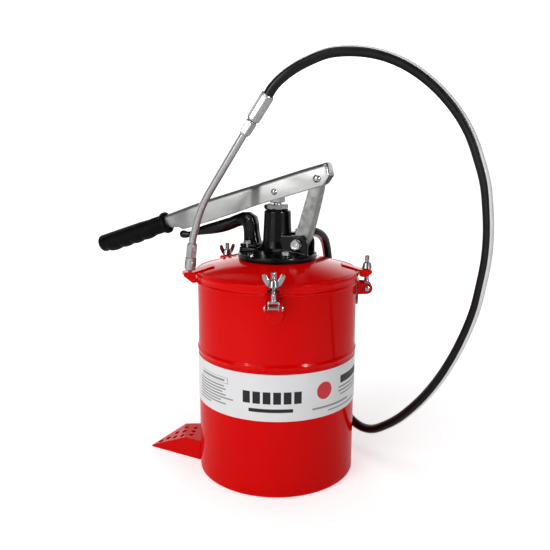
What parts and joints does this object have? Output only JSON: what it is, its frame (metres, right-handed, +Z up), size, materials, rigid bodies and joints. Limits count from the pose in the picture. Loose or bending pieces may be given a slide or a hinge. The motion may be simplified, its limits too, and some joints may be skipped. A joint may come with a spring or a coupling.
{
  "type": "bucket grease pump",
  "caption": "Hand-lever grease and gear-oil pump on a clamped steel drum, with a foot pedal, carrying handle, looping delivery hose and rigid wand.",
  "frame": {"origin": "centre of the drum's flat bottom, on the floor", "axes": "+Z up along the drum and pump axis, -Y the front with the middle clamp and the label, +X to the side where the hose loops"},
  "size_m": [0.6013, 0.2967, 0.6512],
  "materials": {
    "red_paint": "glossy",
    "label_white": "satin",
    "black_enamel": "glossy",
    "zinc_plate": "satin",
    "bare_steel": "machined",
    "black_rubber": "matt",
    "hose_black": "satin"
  },
  "bodies": {
    "drum_unit": {"drum": "red_paint", "label_band": "label_white", "pedal": "red_paint", "lid": "red_paint", "lid_gasket": "black_rubber", "nozzle_rest": "red_paint", "lid_lug_front": "red_paint", "lid_lug_right": "red_paint", "lid_lug_back": "red_paint", "clamp_bracket_front": "red_paint", "clamp_bracket_right": "red_paint", "clamp_bracket_back": "red_paint", "clamp_pin_front": "zinc_plate", "clamp_pin_right": "zinc_plate", "clamp_pin_back": "zinc_plate", "pump_head": "black_enamel", "carry_handle": "black_enamel", "flange_gasket": "black_rubber", "flange_screw_front": "zinc_plate", "flange_screw_rear": "zinc_plate", "handle_screw_front": "zinc_plate", "handle_screw_rear": "zinc_plate", "gland_nut": "zinc_plate", "gland_packing": "black_rubber", "gland_wiper": "black_rubber", "pump_tube": "bare_steel", "foot_valve": "bare_steel", "strut_bolt": "zinc_plate", "strut_nut": "zinc_plate", "outlet_nipple": "zinc_plate", "outlet_spring": "bare_steel", "hose": "hose_black", "ferrule_pump": "zinc_plate", "ferrule_wand": "zinc_plate", "wand_adapter": "zinc_plate", "wand_pipe": "zinc_plate", "coupler_body": "zinc_plate"},
    "strut_body": {"strut": "zinc_plate", "strut_pin": "zinc_plate"},
    "lever_body": {"lever": "zinc_plate", "lever_grip": "black_rubber", "rod_pin": "zinc_plate"},
    "rod_body": {"pump_rod": "bare_steel", "rod_head": "zinc_plate", "piston": "bare_steel", "piston_cup": "black_rubber"},
    "follower_body": {"follower_plate": "bare_steel", "follower_seal": "black_rubber"},
    "foot_ball_body": {"foot_ball": "bare_steel"},
    "outlet_ball_body": {"outlet_ball": "bare_steel"},
    "sleeve_body": {"coupler_sleeve": "zinc_plate"},
    "swing_bolt_body_front": {"swing_bolt_front": "zinc_plate"},
    "wing_nut_body_front": {"wing_nut_front": "zinc_plate"},
    "swing_bolt_body_right": {"swing_bolt_right": "zinc_plate"},
    "wing_nut_body_right": {"wing_nut_right": "zinc_plate"},
    "swing_bolt_body_back": {"swing_bolt_back": "zinc_plate"},
    "wing_nut_body_back": {"wing_nut_back": "zinc_plate"}
  },
  "joints": [
    {"name": "lever_swing", "type": "hinge", "parent": "strut_body", "child": "lever_body", "pos_m": [0.06305, -0.02547, 0.4703], "axis": [0.3746, 0.9272, 0], "range_deg": [0, 43]},
    {"name": "strut_rock", "type": "hinge", "parent": "drum_unit", "child": "strut_body", "pos_m": [0.03616, -0.01461, 0.3698], "axis": [0.3746, 0.9272, 0], "range_deg": [-1.4, 0]},
    {"name": "rod_slide", "type": "slide", "parent": "drum_unit", "child": "rod_body", "axis": [0, 0, 1], "range_m": [0, 0.0517]},
    {"name": "follower_slide", "type": "slide", "parent": "drum_unit", "child": "follower_body", "axis": [0, 0, 1], "range_m": [0, 0.25]},
    {"name": "foot_ball_lift", "type": "slide", "parent": "drum_unit", "child": "foot_ball_body", "axis": [0, 0, 1], "range_m": [0, 0.003]},
    {"name": "outlet_ball_lift", "type": "slide", "parent": "drum_unit", "child": "outlet_ball_body", "axis": [0.7403, 0.6666, 0.0872], "range_m": [0, 0.002], "stiffness_N_per_m": 60, "springref_m": -0.002, "deforming": ["outlet_spring"]},
    {"name": "sleeve_turn", "type": "hinge", "parent": "drum_unit", "child": "sleeve_body", "pos_m": [-0.1342, -0.031, 0.3282], "axis": [0.1182, -0.0682, 0.9907], "continuous": true},
    {"name": "bolt_swing_front", "type": "hinge", "parent": "drum_unit", "child": "swing_bolt_body_front", "pos_m": [-0.00492, -0.14091, 0.2985], "axis": [0.9994, -0.0349, 0], "range_deg": [0, 100]},
    {"name": "wing_nut_spin_front", "type": "hinge", "parent": "swing_bolt_body_front", "child": "wing_nut_body_front", "pos_m": [-0.00492, -0.14091, 0.2985], "axis": [0, 0, 1], "continuous": true},
    {"name": "bolt_swing_right", "type": "hinge", "parent": "drum_unit", "child": "swing_bolt_body_right", "pos_m": [0.14091, -0.00492, 0.2985], "axis": [0.0349, 0.9994, 0], "range_deg": [0, 100]},
    {"name": "wing_nut_spin_right", "type": "hinge", "parent": "swing_bolt_body_right", "child": "wing_nut_body_right", "pos_m": [0.14091, -0.00492, 0.2985], "axis": [0, 0, 1], "continuous": true},
    {"name": "bolt_swing_back", "type": "hinge", "parent": "drum_unit", "child": "swing_bolt_body_back", "pos_m": [-0.08681, 0.11111, 0.2985], "axis": [-0.788, -0.6157, 0], "range_deg": [0, 100]},
    {"name": "wing_nut_spin_back", "type": "hinge", "parent": "swing_bolt_body_back", "child": "wing_nut_body_back", "pos_m": [-0.08681, 0.11111, 0.2985], "axis": [0, 0, 1], "continuous": true}
  ],
  "couplings": [
    {"joint": "strut_rock", "follows": "lever_swing", "ratio": -0.032},
    {"joint": "rod_slide", "follows": "lever_swing", "m_per_rad": 0.068755}
  ]
}
